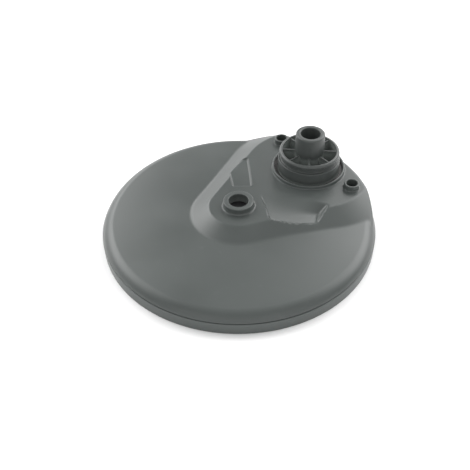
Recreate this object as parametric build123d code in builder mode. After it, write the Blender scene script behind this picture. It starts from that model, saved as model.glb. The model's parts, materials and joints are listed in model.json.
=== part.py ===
from build123d import *
import math
import os

# Flat surface cleaner head for a pressure washer, 280 mm across. Millimetres, +Z up.
# Origin: centre of the disc on the floor plane, which is also the rotor's axis.
# The handle hub stands on the raised mound towards +Y.

os.makedirs("parts", exist_ok=True)

# ---- driving dimensions: deck ----------------------------------------------------------------
disc_r = 140.0            # outer radius of the skirt ring
rim_r = 139.2             # outer radius of the deck, just above the skirt ring
rim_wall_r = 137.0        # outside of the deck's rim wall, inside the skirt ring
deck_wall = 3.0
crown_z = 24.4            # height of the deck at its centre, under the mound
crown_r = 2800.0          # radius of the shallow dome
dome_edge_r = 127.7       # where the dome rolls over into the rim
dome_mid_r = 70.0         # any radius between, to draw the dome's arc through
skirt_h = 12.4            # height of the skirt ring
skirt_foot_t = 2.0        # thickness of the skirt's inward foot
skirt_foot_w = 3.5        # how far the foot reaches in under the rim wall
skirt_edge = 0.8          # chamfer of the skirt's edges
groove_w = 0.8            # gap between the skirt ring and the deck
groove_step = 0.5         # height of the slope under the deck's edge

# ---- driving dimensions: mound ---------------------------------------------------------------
mound_z = 32.75           # flat top of the mound
nose_r = 30.5             # nose radius of the mound's top face
mound_half_angle = 22.8   # how fast the mound widens towards the rear, each side
flank_slope = 25.8        # fall of the mound's flanks below the horizontal
mound_edge_r = 5.0        # roundness of the mound's top edge
mound_rear_r = 137.6      # rear wall of the mound
mound_rear_edge = 3.2     # roundness of the rear wall's top edge
mound_rear_lean = 0.9     # how far the rear wall leans in
mound_root_z = 16.0       # the mound's solid starts here, inside the deck
hollow_shrink = 0.7       # the hollow's outline is this much inside the mound's top outline

# ---- driving dimensions: recesses in the mound -----------------------------------------------
channel_angle = 50.3      # plan direction of both recesses, away from +Y
scoop_start = 31.0        # distances along the right-hand scoop from the disc's centre
scoop_end = 85.5
scoop_outer = -13.0       # its open side, across from its centre line
scoop_start_floor = 31.0  # floor height, foot and top of its slope at the inner end
scoop_start_foot = 6.0
scoop_start_roll = 19.0
scoop_end_floor = 25.2    # and at the outer end
scoop_end_foot = 10.5
scoop_end_roll = 24.0
label_depth = 1.8         # shallow recess on the left
label_corner_r = 1.6
label_wall_angle = 35.0   # lean of its walls
label_cut_h = 4.0         # the cut reaches above the mound's top
label_corners = ((33.0, -5.5), (33.0, 13.0), (58.0, 11.4), (80.1, 9.5), (80.2, 4.6), (56.0, -8.7))

# ---- driving dimensions: hub -----------------------------------------------------------------
hub_y = 98.2
collar_r = 38.9
collar_wall = 1.9
collar_z = 36.6
hub_top_z = 77.0
hub_tube_r = 15.3
hub_tube_edge = 1.6       # roundness of the tube's outer top edge
hub_socket_r = 10.3
hub_socket_edge = 1.2     # chamfer of the socket's mouth
hub_socket_floor_z = 48.0
hub_seal_r = 6.1          # bore that the inlet's O-rings run in
hub_seal_low_z = 33.5
hub_skirt_r = 29.5        # hollow under the hub's floor
hub_well_r = 10.0         # boss below the floor
hub_floor_z = 38.0        # floor between the hub's ribs
hub_floor_t = 2.5
drum_lip_z = 57.0
drum_lip_r = 31.9
drum_lip_edge = 2.8       # roundness of the lip
drum_lip_h = 4.2
lip_slope = 0.5           # small slopes under and inside the lip
drum_neck_r = 30.2
drum_ledge_r = 33.0
drum_ledge_z = 47.6
drum_ledge_edge = 0.6
drum_inner_r = 28.5
rib_count = 8
rib_t = 1.6
rib_drop = 1.2            # the ribs' tops lie this far below the lip

# ---- driving dimensions: bosses and pillars --------------------------------------------------
boss_r = 15.5
boss_bore_r = 10.15
boss_z = 39.5
screw_boss_r = 7.9
screw_boss_hole_r = 5.77
screw_boss_z = 38.7
screw_boss_x = 54.0
screw_boss_y = 108.5
boss_edge = 0.7
bracket_pillar_r = 4.0
saddle_pillar_r = 3.0
pillar_root = 0.5         # how far the pillars run into the ceiling
bracket_pilot_depth = 9.5
saddle_pilot_depth = 5.0
swivel_pilot_depth = 8.0

# ---- driving dimensions: hub seat ------------------------------------------------------------
seat_low_z = 26.5         # underside of the ring that carries the hub
seat_z = 28.5
seat_opening_r = 28.0
slip_h = 1.0
flange_low_z = 29.6
flange_top_z = 31.6
hub_flange_r = 36.9
snap_z = 31.9
snap_h = 1.5
snap_r = 37.6
snap_gap = 9.0            # opening of the split ring
groove_play = 0.1
slip_play = 0.3
snap_play = 0.6           # play between the split ring and the hub's drum

# ---- driving dimensions: inlet ---------------------------------------------------------------
elbow_foot_x = 28.0
elbow_foot_y = 13.0
elbow_foot_t = 2.2
elbow_body_r = 7.5
elbow_shoulder_z = 29.5   # the elbow's body narrows to the spigot from here
spigot_low_z = 31.0
spigot_top_z = 47.4
elbow_bore_r = 2.5
elbow_screw_x = 10.5
o_ring_levels = (37.5, 42.5)
o_ring_t = 0.85           # half the O-rings' thickness
o_ring_groove_r = 4.3
o_ring_groove_h = 0.9     # half the grooves' height
bracket_z = 18.2
bracket_t = 1.5
bracket_x = 46.0
bracket_w = 11.0
bracket_pad_x = 32.0
bracket_pad_y = 15.0
corner_r = 3.0            # rounded corners of the elbow's foot and the bracket's pad

# ---- driving dimensions: water path ----------------------------------------------------------
pipe_z = 23.2
pipe_r = 3.0
pipe_bore_r = 2.0
stub_r = 3.45             # pipe stubs of the swivel and the elbow
swivel_stub_y = 20.0      # end of the swivel's pipe stub
elbow_stub_y = 80.4       # end of the elbow's pipe stub
ferrule_l = 2.3
nut_half_w = 4.5          # half the nuts' width across flats
nut_over_stub = 2.6       # how far a nut reaches back over its stub
nut_step = 5.1            # length of a nut's wide bore
nut_neck = 2.4
saddle_y = 46.0
saddle_x = 8.0
saddle_w = 8.0
saddle_t = 1.3
saddle_foot_t = 2.0

# ---- driving dimensions: swivel and spindle --------------------------------------------------
swivel_r = 9.8
swivel_low_z = 20.4       # underside of the fixed swivel body
swivel_flange_t = 2.4
swivel_flange_w = 3.5     # flange beyond the screws' circle
swivel_screw_r = 12.85    # circle of the four screws that hold the swivel body
swivel_screw_count = 4
swivel_gallery_r = 6.2
swivel_gallery_h = 3.0
swivel_neck_y = 8.0       # the stub starts here, inside the body
gasket_t = 0.8
spindle_r = 5.0
spindle_head_r = 6.4
spindle_head_t = 3.0
spindle_depth = 6.0       # how far it is screwed into the swivel body
spindle_bore_r = 2.2
spindle_port_r = 1.2
spindle_key = 3.0         # half the width across flats of its hexagon socket
spindle_key_h = 2.4

# ---- driving dimensions: rotor ---------------------------------------------------------------
arm_z = 12.0
arm_r = 4.0
arm_bore_r = 2.5
arm_start_x = 11.0
arm_end_x = 100.0
arm_nut_x = 14.9
arm_nut_l = 4.6
arm_nut_half_w = 5.4
bearing_r = 9.5
bearing_h = 4.0
inner_race_r = 6.4
outer_race_r = 8.1        # inside of the outer race
ball_r = 1.1
ball_count = 11
ball_gap = 0.15           # a ball's play in its races
cage_half_t = 0.4
cage_margin = 0.5         # the cage is this much lower than the races at each side
lower_bearing_z = 5.0
upper_bearing_z = 15.0
seal_h = 1.4
seal_r = 8.5
gallery_r = 6.8           # water gallery between the seals
rotor_hub_r = 14.5
rotor_neck_r = 12.0
rotor_low_z = 3.6
rotor_top_z = 19.2
rotor_shoulder_z = 5.4
rotor_cone_z = 17.0
rotor_mouth_r = 8.9       # opening round the spindle's head
circlip_r = 10.2
circlip_inner_r = 8.2
circlip_t = 0.7
circlip_gap = 5.0

# ---- driving dimensions: nozzles -------------------------------------------------------------
nozzle_x = 106.0
nozzle_tilt = 15.0
holder_start_x = 94.0
holder_r = 5.3            # sleeve round the arm's end
holder_l = 7.6
holder_body_r = 6.0
holder_jet_r = 5.0
holder_bore_r = 2.0
nozzle_r = 3.0
nozzle_bore_r = 0.6
nozzle_start = 0.7        # the shank starts this far along the jet
nozzle_shank_l = 4.4
nozzle_hex_half_w = 4.4
nozzle_hex_l = 1.6
nozzle_tip_r = 2.6
nozzle_tip_l = 0.9
nozzle_ring_r = 4.2

# ---- driving dimensions: fasteners and fits --------------------------------------------------
pilot_r = 1.3
shank_r = 1.25
shank_play = 0.3          # play round a screw in a clearance hole
head_r = 2.4              # cheese-head screws
head_h = 1.8
slot_l = 3.4
slot_w = 0.7
slot_depth = 0.8
sunk_head_r = 2.75        # countersunk screws
sunk_head_h = 1.35
head_play = 0.15
bracket_screw_l = 9.5
saddle_screw_l = 6.0
swivel_screw_l = 9.0
fit_gap = 0.02            # pushed-together pieces of one body
running_gap = 0.05
through = 20.0            # longer than anything that a hole or slot is cut through

# ---- worked out ------------------------------------------------------------------------------
ceiling_z = mound_z - deck_wall
elbow_base_z = bracket_z + bracket_t
swivel_top_z = ceiling_z - gasket_t
head_z = lower_bearing_z - 0.1
pitch_r = (inner_race_r + outer_race_r) / 2
fall = math.tan(math.radians(flank_slope))
side = math.radians(mound_half_angle)
chan = math.radians(channel_angle)
pad_r = nose_r + hub_y * math.sin(side)      # round rear of the mound, about the hub


def dome_z(radius):
    return crown_z - radius ** 2 / (2 * crown_r)


def save(builder, name):
    builder.part.label = name
    export_step(builder.part, f"parts/{name}.step")


def upright(y=0.0):
    """Drawing plane through the vertical axis at (0, y): x is the radius, y is the height."""
    return Plane((0, y, 0), x_dir=(1, 0, 0), z_dir=(0, -1, 0))


def ring(inner_r, outer_r, low_z, high_z, y=0.0):
    """Profile of a plain ring for a revolve about the vertical axis at (0, y)."""
    with BuildSketch(upright(y)) as profile:
        with Locations(((inner_r + outer_r) / 2, (low_z + high_z) / 2)):
            Rectangle(outer_r - inner_r, high_z - low_z)
    return profile.sketch


def spin_axis(y=0.0):
    return Axis((0, y, 0), (0, 0, 1))


def pipe_plane(y):
    """Plane across the feed pipe at a given y, drawing with x to the right and y downwards."""
    return Plane((0, y, pipe_z), x_dir=(1, 0, 0), z_dir=(0, 1, 0))


def arm_plane(x):
    """Plane across the spray arms at a given x."""
    return Plane((x, 0, arm_z), x_dir=(0, 1, 0), z_dir=(1, 0, 0))


def hexagon(half_width):
    RegularPolygon(half_width / math.cos(math.pi / 6), 6)


def mound_outline(grow):
    """Round nose about the origin, two straight sides, and a round rear about the hub."""
    nose = nose_r + grow
    pad = pad_r + grow
    cos_s = math.cos(side)
    sin_s = math.sin(side)
    nose_right = (nose * cos_s, -nose * sin_s)
    nose_left = (-nose * cos_s, -nose * sin_s)
    pad_right = (pad * cos_s, hub_y - pad * sin_s)
    pad_left = (-pad * cos_s, hub_y - pad * sin_s)
    with BuildLine() as outline:
        ThreePointArc(nose_left, (0, -nose), nose_right)
        Line(nose_right, pad_right)
        ThreePointArc(pad_right, (0, hub_y + pad), pad_left)
        Line(pad_left, nose_left)
    return outline.line


def wedge(shrink, top_z):
    """Solid mound with sloping flanks below a flat top, its top outline shrunk a little."""
    with BuildPart() as solid:
        with BuildSketch(Plane.XY.offset(mound_root_z)):
            with BuildLine():
                add(mound_outline((top_z - mound_root_z) / fall - shrink))
            make_face()
        with BuildSketch(Plane.XY.offset(top_z)):
            with BuildLine():
                add(mound_outline(-shrink))
            make_face()
        loft(ruled=True)
    return solid.part


def channel_point(along, across, hand):
    """Plan point at a distance along and across the recess direction; hand is +1 or -1 in X."""
    x = along * math.sin(chan) - across * math.cos(chan)
    y = along * math.cos(chan) + across * math.sin(chan)
    return (hand * x, y)


def channel_plane(along):
    """Upright plane across the right-hand recess: x is across towards the hub, y is height."""
    x, y = channel_point(along, 0, 1)
    return Plane((x, y, 0), x_dir=(-math.cos(chan), math.sin(chan), 0),
                 z_dir=(math.sin(chan), math.cos(chan), 0))


def scoop(grow):
    """Ramp cut in the right flank: shallow by the nose, deep at its outer end."""
    above = mound_z + through
    with BuildPart() as cut:
        for along, floor_z, foot, roll in (
                (scoop_start - grow, scoop_start_floor, scoop_start_foot, scoop_start_roll),
                (scoop_end + grow, scoop_end_floor, scoop_end_foot, scoop_end_roll)):
            low = floor_z - grow
            with BuildSketch(channel_plane(along)):
                with BuildLine():
                    Polyline((scoop_outer - grow, low), (foot + grow / 2, low),
                             (roll + grow, mound_z), (roll + grow, above),
                             (scoop_outer - grow, above), close=True)
                make_face()
        loft(ruled=True)
    return cut.part


# ---- deck ------------------------------------------------------------------------------------
with BuildPart() as mound:
    add(wedge(0.0, mound_z))
    fillet(mound.edges().group_by(Axis.Z)[-1], radius=mound_edge_r)
    with BuildSketch(upright()):
        with BuildLine():
            rear_top = (mound_rear_r - mound_rear_lean, mound_z - mound_rear_edge)
            rear_edge = (rear_top[0] - mound_rear_edge, mound_z)
            Polyline((0, mound_root_z), (mound_rear_r, mound_root_z), rear_top)
            RadiusArc(rear_top, rear_edge, -mound_rear_edge)
            Polyline(rear_edge, (0, mound_z), (0, mound_root_z))
        make_face()
    revolve(axis=Axis.Z, mode=Mode.INTERSECT)

# hollow under the disc: rim wall, rolled corner and dome, one wall thickness inside
with BuildPart() as chamber:
    inner_r = rim_wall_r - deck_wall
    with BuildSketch(upright()):
        with BuildLine():
            ceiling = ThreePointArc((0, crown_z - deck_wall), (dome_mid_r, dome_z(dome_mid_r) - deck_wall),
                                    (dome_edge_r, dome_z(dome_edge_r) - deck_wall))
            corner = TangentArc(ceiling @ 1, (inner_r, skirt_h + deck_wall), tangent=ceiling % 1)
            Polyline(corner @ 1, (inner_r, -skirt_foot_t), (0, -skirt_foot_t), (0, crown_z - deck_wall))
        make_face()
    revolve(axis=Axis.Z)

with BuildPart() as mound_hollow:
    add(wedge(hollow_shrink, ceiling_z))
    with BuildSketch(upright()):
        with BuildLine():
            Polyline((0, 0), (inner_r, 0), (inner_r - mound_rear_lean, ceiling_z), (0, ceiling_z), close=True)
        make_face()
    revolve(axis=Axis.Z, mode=Mode.INTERSECT)
    add(scoop(deck_wall), mode=Mode.SUBTRACT)

# raised collar with the seat ring under the hub, trimmed by the mound's rear wall
with BuildPart() as hub_cup:
    with BuildSketch(Plane.XY.offset(seat_low_z)):
        with Locations((0, hub_y)):
            Circle(collar_r)
        Circle(mound_rear_r - mound_rear_lean, mode=Mode.INTERSECT)
    extrude(amount=collar_z - seat_low_z)

screw_bosses = ((screw_boss_x, screw_boss_y), (-screw_boss_x, screw_boss_y))
bracket_places = ((bracket_x, hub_y), (-bracket_x, hub_y))
saddle_places = ((saddle_x, saddle_y), (-saddle_x, saddle_y))

# outside of the disc: dome, rolled rim, groove above the skirt ring, rim wall
with BuildPart() as dome_housing:
    with BuildSketch(upright()):
        with BuildLine():
            crown = ThreePointArc((0, crown_z), (dome_mid_r, dome_z(dome_mid_r)),
                                  (dome_edge_r, dome_z(dome_edge_r)))
            TangentArc(crown @ 1, (rim_r, skirt_h + groove_w), tangent=crown % 1)
            Polyline((rim_r, skirt_h + groove_w), (rim_wall_r, skirt_h + groove_w - groove_step),
                     (rim_wall_r, skirt_foot_t), (0, skirt_foot_t), (0, crown_z))
        make_face()
    revolve(axis=Axis.Z)
    add(mound.part)
    add(scoop(0.0), mode=Mode.SUBTRACT)
    # shallow label recess on the left, its outer edge along the flank
    with BuildSketch(Plane.XY.offset(mound_z - label_depth)):
        with BuildLine():
            Polyline([channel_point(along, across, -1) for along, across in label_corners], close=True)
        make_face()
        fillet(vertices(), radius=label_corner_r)
    extrude(amount=label_cut_h, taper=-label_wall_angle, mode=Mode.SUBTRACT)
    # hollow underside, hub collar, bosses
    add(chamber.part, mode=Mode.SUBTRACT)
    add(mound_hollow.part, mode=Mode.SUBTRACT)
    add(hub_cup.part)
    with BuildSketch(Plane.XY.offset(ceiling_z)):
        Circle(boss_r)
    extrude(amount=boss_z - ceiling_z)
    with BuildSketch(Plane.XY.offset(ceiling_z)):
        with Locations(*screw_bosses):
            Circle(screw_boss_r)
    extrude(amount=screw_boss_z - ceiling_z)
    # pillars under the ceiling for the elbow bracket and the pipe saddle, with pilot holes
    for places, foot_z, pillar_r, pilot_depth in (
            (bracket_places, elbow_base_z, bracket_pillar_r, bracket_pilot_depth),
            (saddle_places, pipe_z + saddle_foot_t, saddle_pillar_r, saddle_pilot_depth)):
        with BuildSketch(Plane.XY.offset(foot_z)):
            with Locations(*places):
                Circle(pillar_r)
        extrude(amount=ceiling_z + pillar_root - foot_z)
        with BuildSketch(Plane.XY.offset(foot_z)):
            with Locations(*places):
                Circle(pilot_r)
        extrude(amount=pilot_depth, mode=Mode.SUBTRACT)
    # hub bore, snap ring groove and the opening under the hub
    for bore_r, low_z, high_z in ((collar_r - collar_wall, seat_z, collar_z + 1.0),
                                  (snap_r + groove_play, snap_z - groove_play, snap_z + snap_h + groove_play),
                                  (seat_opening_r, seat_low_z - 1.0, seat_z + 1.0)):
        with BuildSketch(Plane.XY.offset(low_z)):
            with Locations((0, hub_y)):
                Circle(bore_r)
        extrude(amount=high_z - low_z, mode=Mode.SUBTRACT)
    # bores of the centre boss and the two screw bosses, and the swivel's pilot holes
    with BuildSketch(Plane.XY.offset(ceiling_z - 1.0)):
        Circle(boss_bore_r)
        with Locations(*screw_bosses):
            Circle(screw_boss_hole_r)
    extrude(amount=through, mode=Mode.SUBTRACT)
    with BuildSketch(Plane.XY.offset(ceiling_z - 1.0)):
        with PolarLocations(swivel_screw_r, swivel_screw_count, start_angle=45):
            Circle(pilot_r)
    extrude(amount=swivel_pilot_depth, mode=Mode.SUBTRACT)
    boss_rims = [e for e in dome_housing.edges().filter_by(GeomType.CIRCLE)
                 if abs(e.center().Z - boss_z) < 0.01 or abs(e.center().Z - screw_boss_z) < 0.01]
    fillet(boss_rims, radius=boss_edge)
save(dome_housing, "dome_housing")

with BuildPart() as skirt_ring:
    with BuildSketch(upright()):
        with BuildLine():
            Polyline((rim_wall_r - skirt_foot_w, 0), (disc_r - skirt_edge, 0), (disc_r, skirt_edge),
                     (disc_r, skirt_h - skirt_edge), (disc_r - skirt_edge, skirt_h),
                     (rim_wall_r + fit_gap, skirt_h), (rim_wall_r + fit_gap, skirt_foot_t),
                     (rim_wall_r - skirt_foot_w, skirt_foot_t), close=True)
        make_face()
    revolve(axis=Axis.Z)
save(skirt_ring, "skirt_ring")

# ---- hub -------------------------------------------------------------------------------------
with BuildPart() as hub_spool:
    with BuildSketch(upright(hub_y)):
        with BuildLine():
            # from the bottom flange up the outside of the drum
            neck_top_z = drum_lip_z - drum_lip_h
            lip_low = (drum_lip_r, drum_lip_z - drum_lip_edge)
            lip_top = (drum_lip_r - drum_lip_edge, drum_lip_z)
            Polyline((hub_skirt_r, flange_low_z), (hub_flange_r, flange_low_z),
                     (hub_flange_r, flange_top_z), (drum_ledge_r, flange_top_z),
                     (drum_ledge_r, drum_ledge_z - drum_ledge_edge),
                     (drum_ledge_r - drum_ledge_edge, drum_ledge_z), (drum_neck_r, drum_ledge_z),
                     (drum_neck_r, neck_top_z), (drum_lip_r, neck_top_z + lip_slope), lip_low)
            # rounded lip, inside wall, floor and up the tube
            RadiusArc(lip_low, lip_top, -drum_lip_edge)
            tube_side = (hub_tube_r, hub_top_z - hub_tube_edge)
            tube_top = (hub_tube_r - hub_tube_edge, hub_top_z)
            Polyline(lip_top, (drum_inner_r, drum_lip_z - lip_slope), (drum_inner_r, hub_floor_z),
                     (hub_tube_r, hub_floor_z), tube_side)
            RadiusArc(tube_side, tube_top, -hub_tube_edge)
            # socket, stepped bore and the hollow underside
            Polyline(tube_top, (hub_socket_r + hub_socket_edge, hub_top_z),
                     (hub_socket_r, hub_top_z - hub_socket_edge), (hub_socket_r, hub_socket_floor_z),
                     (hub_seal_r, hub_socket_floor_z), (hub_seal_r, hub_seal_low_z),
                     (hub_well_r, hub_seal_low_z), (hub_well_r, hub_floor_z - hub_floor_t),
                     (hub_skirt_r, hub_floor_z - hub_floor_t), (hub_skirt_r, flange_low_z))
        make_face()
    revolve(axis=spin_axis(hub_y))
    rib_base_z = hub_floor_z - hub_floor_t / 2
    with BuildSketch(Plane.XY.offset(rib_base_z)):
        with Locations((0, hub_y)):
            with PolarLocations((hub_tube_r + drum_inner_r) / 2, rib_count):
                Rectangle(drum_inner_r - hub_tube_r + 1.0, rib_t)
    extrude(amount=drum_lip_z - rib_drop - rib_base_z)
save(hub_spool, "hub_spool")

with BuildPart() as hub_slip_ring:
    slip_r = collar_r - collar_wall - groove_play
    add(ring(seat_opening_r + slip_play, slip_r, seat_z, seat_z + slip_h, hub_y))
    revolve(axis=spin_axis(hub_y))
save(hub_slip_ring, "hub_slip_ring")

with BuildPart() as hub_snap_ring:
    add(ring(drum_ledge_r + snap_play, snap_r, snap_z, snap_z + snap_h, hub_y))
    revolve(axis=spin_axis(hub_y))
    with BuildSketch(Plane.XY.offset(snap_z - 1.0)):
        with Locations((0, hub_y + snap_r)):
            Rectangle(snap_gap, through)
    extrude(amount=snap_h + 2.0, mode=Mode.SUBTRACT)
save(hub_snap_ring, "hub_snap_ring")

# ---- inlet under the hub ---------------------------------------------------------------------
elbow_screws_xy = ((elbow_screw_x, hub_y), (-elbow_screw_x, hub_y))
with BuildPart() as inlet_elbow:
    with BuildSketch(Plane.XY.offset(elbow_base_z)):
        with Locations((0, hub_y)):
            RectangleRounded(elbow_foot_x, elbow_foot_y, corner_r)
    extrude(amount=elbow_foot_t)
    with BuildSketch(upright(hub_y)):
        with BuildLine():
            Polyline((0, elbow_base_z), (elbow_body_r, elbow_base_z), (elbow_body_r, elbow_shoulder_z),
                     (spindle_r, spigot_low_z), (spindle_r, spigot_top_z - 1.0),
                     (spindle_r - 1.0, spigot_top_z), (0, spigot_top_z), close=True)
        make_face()
        for level in o_ring_levels:
            with Locations(((o_ring_groove_r + elbow_body_r) / 2, level)):
                Rectangle(elbow_body_r - o_ring_groove_r, 2 * o_ring_groove_h, mode=Mode.SUBTRACT)
    revolve(axis=spin_axis(hub_y))
    with BuildSketch(pipe_plane(hub_y)):
        Circle(stub_r)
    extrude(amount=elbow_stub_y - hub_y)
    with BuildSketch(pipe_plane(hub_y)):
        Circle(pipe_bore_r)
    extrude(amount=elbow_stub_y - hub_y - 1.0, mode=Mode.SUBTRACT)
    with BuildSketch(Plane.XY.offset(pipe_z)):
        with Locations((0, hub_y)):
            Circle(elbow_bore_r)
    extrude(amount=spigot_top_z - pipe_z + 1.0, mode=Mode.SUBTRACT)
    with BuildSketch(Plane.XY.offset(elbow_base_z - 1.0)):
        with Locations(*elbow_screws_xy):
            Circle(shank_r + shank_play)
    extrude(amount=elbow_foot_t + 2.0, mode=Mode.SUBTRACT)
save(inlet_elbow, "inlet_elbow")

with BuildPart() as inlet_o_rings:
    for level in o_ring_levels:
        with BuildSketch(upright(hub_y)):
            with Locations((hub_seal_r - running_gap - o_ring_t, level)):
                Circle(o_ring_t)
        revolve(axis=spin_axis(hub_y))
save(inlet_o_rings, "inlet_o_rings")

with BuildPart() as inlet_bracket:
    with BuildSketch(Plane.XY.offset(bracket_z)):
        with Locations((0, hub_y)):
            SlotOverall(2 * bracket_x + bracket_w, bracket_w)
            RectangleRounded(bracket_pad_x, bracket_pad_y, corner_r)
        with Locations(*elbow_screws_xy):
            Circle(shank_r + fit_gap, mode=Mode.SUBTRACT)
    extrude(amount=bracket_t)
    with Locations([(x, y, bracket_z) for x, y in bracket_places]):
        Cone(sunk_head_r + head_play, shank_r + shank_play, sunk_head_h,
             align=(Align.CENTER, Align.CENTER, Align.MIN), mode=Mode.SUBTRACT)
        Cylinder(shank_r + shank_play, 2 * bracket_t + 1.0, mode=Mode.SUBTRACT)
save(inlet_bracket, "inlet_bracket")

with BuildPart() as bracket_screws:
    with Locations([(x, y, bracket_z) for x, y in bracket_places]):
        Cone(sunk_head_r, shank_r, sunk_head_h, align=(Align.CENTER, Align.CENTER, Align.MIN))
        Cylinder(shank_r, bracket_screw_l, align=(Align.CENTER, Align.CENTER, Align.MIN))
        Box(slot_l, slot_w, 2 * slot_depth, mode=Mode.SUBTRACT)
save(bracket_screws, "bracket_screws")


def cheese_screws(places, seat_z_level, length, way):
    """Slotted cheese-head screws: the heads stand off the seat, the shanks point the other way."""
    with BuildPart() as screws:
        with BuildSketch(Plane.XY.offset(seat_z_level)):
            with Locations(*places):
                Circle(head_r)
        extrude(amount=way * head_h)
        with BuildSketch(Plane.XY.offset(seat_z_level)):
            with Locations(*places):
                Circle(shank_r)
        extrude(amount=-way * length)
        with BuildSketch(Plane.XY.offset(seat_z_level + way * (head_h - slot_depth))):
            with Locations(*places):
                Rectangle(slot_l + head_r, slot_w)
        extrude(amount=way * (slot_depth + 1.0), mode=Mode.SUBTRACT)
    return screws


elbow_screws = cheese_screws(elbow_screws_xy, elbow_base_z + elbow_foot_t, elbow_foot_t + bracket_t - 0.1, 1)
save(elbow_screws, "elbow_screws")

# ---- pipe between hub and rotor --------------------------------------------------------------
pipe_start_y = swivel_stub_y + 0.1
pipe_end_y = elbow_stub_y - 0.1
with BuildPart() as feed_pipe:
    with BuildSketch(pipe_plane(pipe_start_y)):
        Circle(pipe_r)
        Circle(pipe_bore_r, mode=Mode.SUBTRACT)
    extrude(amount=pipe_end_y - pipe_start_y)
save(feed_pipe, "feed_pipe")

with BuildPart() as pipe_ferrules:
    for start_y, way in ((pipe_start_y, 1), (pipe_end_y, -1)):
        with BuildSketch(pipe_plane(start_y)):
            Circle(stub_r)
            Circle(pipe_r + fit_gap, mode=Mode.SUBTRACT)
        extrude(amount=way * ferrule_l)
save(pipe_ferrules, "pipe_ferrules")

with BuildPart() as pipe_nuts:
    for start_y, way in ((swivel_stub_y - nut_over_stub, 1), (elbow_stub_y + nut_over_stub, -1)):
        with BuildSketch(pipe_plane(start_y)):
            hexagon(nut_half_w)
            Circle(stub_r + fit_gap, mode=Mode.SUBTRACT)
        extrude(amount=way * nut_step)
        with BuildSketch(pipe_plane(start_y + way * nut_step)):
            hexagon(nut_half_w)
            Circle(pipe_r + fit_gap, mode=Mode.SUBTRACT)
        extrude(amount=way * nut_neck)
save(pipe_nuts, "pipe_nuts")

with BuildPart() as pipe_saddle:
    with BuildSketch(pipe_plane(saddle_y - saddle_w / 2)):
        Circle(pipe_r + saddle_t)
        Rectangle(2 * (saddle_x + corner_r), saddle_foot_t, align=(Align.CENTER, Align.MAX))
        Rectangle(2 * (pipe_r + saddle_t), saddle_foot_t, align=(Align.CENTER, Align.MAX))
        with Locations((0, -saddle_foot_t)):
            Rectangle(2 * through, through, align=(Align.CENTER, Align.MAX), mode=Mode.SUBTRACT)
        Circle(pipe_r + running_gap, mode=Mode.SUBTRACT)
        Rectangle(2 * (pipe_r + running_gap), through, align=(Align.CENTER, Align.MAX), mode=Mode.SUBTRACT)
    extrude(amount=saddle_w)
    with Locations([(x, y, pipe_z) for x, y in saddle_places]):
        Cylinder(shank_r + shank_play, through, mode=Mode.SUBTRACT)
save(pipe_saddle, "pipe_saddle")

saddle_screws = cheese_screws(saddle_places, pipe_z, saddle_screw_l, -1)
save(saddle_screws, "saddle_screws")

# ---- fixed swivel under the centre boss ------------------------------------------------------
swivel_flange_z = swivel_top_z - swivel_flange_t
with BuildPart() as swivel_body:
    with BuildSketch(Plane.XY.offset(swivel_low_z)):
        Circle(swivel_r)
    extrude(amount=swivel_top_z - swivel_low_z)
    with BuildSketch(Plane.XY.offset(swivel_flange_z)):
        Circle(swivel_screw_r + swivel_flange_w)
        with PolarLocations(swivel_screw_r, swivel_screw_count, start_angle=45):
            Circle(shank_r + shank_play, mode=Mode.SUBTRACT)
    extrude(amount=swivel_flange_t)
    with BuildSketch(pipe_plane(swivel_neck_y)):
        Circle(stub_r)
    extrude(amount=swivel_stub_y - swivel_neck_y)
    with BuildSketch(Plane.XY.offset(swivel_low_z)):
        Circle(spindle_r + fit_gap)
    extrude(amount=spindle_depth + 0.2, mode=Mode.SUBTRACT)
    with BuildSketch(Plane.XY.offset(pipe_z - swivel_gallery_h / 2)):
        Circle(swivel_gallery_r)
    extrude(amount=swivel_gallery_h, mode=Mode.SUBTRACT)
    with BuildSketch(pipe_plane(0)):
        Circle(pipe_bore_r)
    extrude(amount=swivel_stub_y + 1.0, mode=Mode.SUBTRACT)
save(swivel_body, "swivel_body")

with BuildPart() as swivel_gasket:
    with BuildSketch(Plane.XY.offset(swivel_top_z)):
        Circle(swivel_screw_r + swivel_flange_w - 0.2)
        Circle(boss_bore_r + 0.2, mode=Mode.SUBTRACT)
        with PolarLocations(swivel_screw_r, swivel_screw_count, start_angle=45):
            Circle(shank_r + shank_play, mode=Mode.SUBTRACT)
    extrude(amount=gasket_t)
save(swivel_gasket, "swivel_gasket")

quarter = math.radians(360 / swivel_screw_count)
swivel_turns = [quarter * (k + 0.5) for k in range(swivel_screw_count)]
swivel_places = [(swivel_screw_r * math.cos(a), swivel_screw_r * math.sin(a)) for a in swivel_turns]
swivel_screws = cheese_screws(swivel_places, swivel_flange_z, swivel_screw_l, -1)
save(swivel_screws, "swivel_screws")

with BuildPart() as banjo_spindle:
    with BuildSketch(Plane.XY.offset(head_z - spindle_head_t)):
        Circle(spindle_head_r)
    extrude(amount=spindle_head_t)
    with BuildSketch(Plane.XY.offset(head_z)):
        Circle(spindle_r)
    extrude(amount=swivel_low_z + spindle_depth - head_z)
    chamfer(edges().group_by(Axis.Z)[0], length=0.6)
    with BuildSketch(Plane.XY.offset(head_z - spindle_head_t)):
        hexagon(spindle_key)
    extrude(amount=spindle_key_h, mode=Mode.SUBTRACT)
    with BuildSketch(Plane.XY.offset(arm_z - spindle_bore_r)):
        Circle(spindle_bore_r)
    extrude(amount=pipe_z - arm_z + 2 * spindle_bore_r, mode=Mode.SUBTRACT)
    for port_z in (arm_z, pipe_z):
        with Locations((0, 0, port_z)):
            Cylinder(spindle_port_r, through, rotation=(90, 0, 0), mode=Mode.SUBTRACT)
            Cylinder(spindle_port_r, through, rotation=(0, 90, 0), mode=Mode.SUBTRACT)
save(banjo_spindle, "banjo_spindle")

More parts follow.
